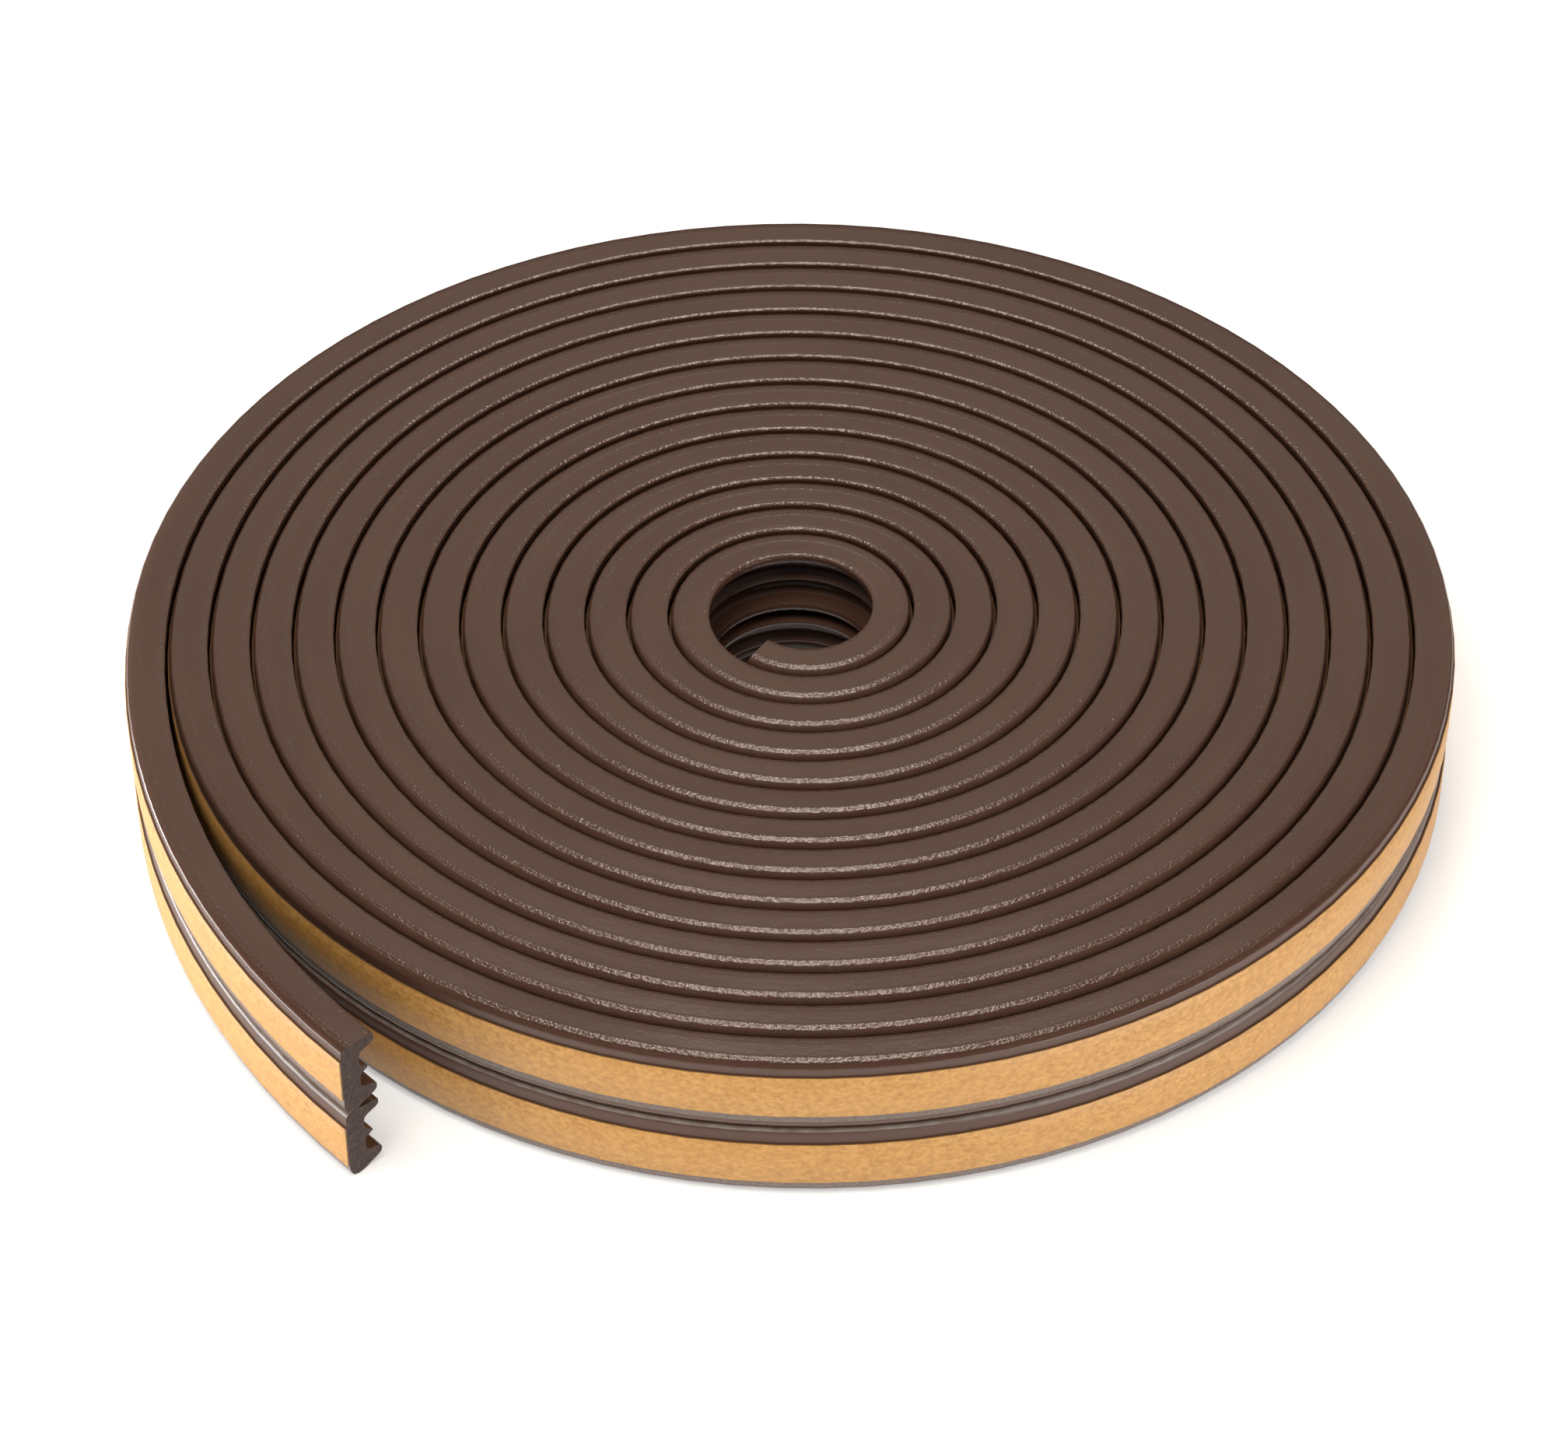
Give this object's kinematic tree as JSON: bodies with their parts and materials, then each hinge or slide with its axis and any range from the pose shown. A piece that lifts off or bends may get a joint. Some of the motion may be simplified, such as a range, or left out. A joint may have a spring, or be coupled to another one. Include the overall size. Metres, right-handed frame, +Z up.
{
  "type": "door and window seal strip",
  "caption": "Coil of twin E-section foam rubber seal strip with paper release liners on its glued back; peels off to close the gaps round doors and windows.",
  "frame": {"origin": "middle of the coil's outline on the surface that it lies on", "axes": "+Z up, along the coil's axis; -Y is the side that the picture looks from, with the loose end at -X -Y"},
  "size_m": [0.1434, 0.1412, 0.018],
  "materials": {
    "foam_rubber": "satin moulded skin of dark brown foam rubber, fine cells on the cut ends",
    "liner_paper": "matt tan release paper with fine speckled grain"
  },
  "bodies": {
    "root": {"seal_strip": "foam_rubber", "liner_upper": "liner_paper", "liner_lower": "liner_paper"}
  },
  "joints": []
}
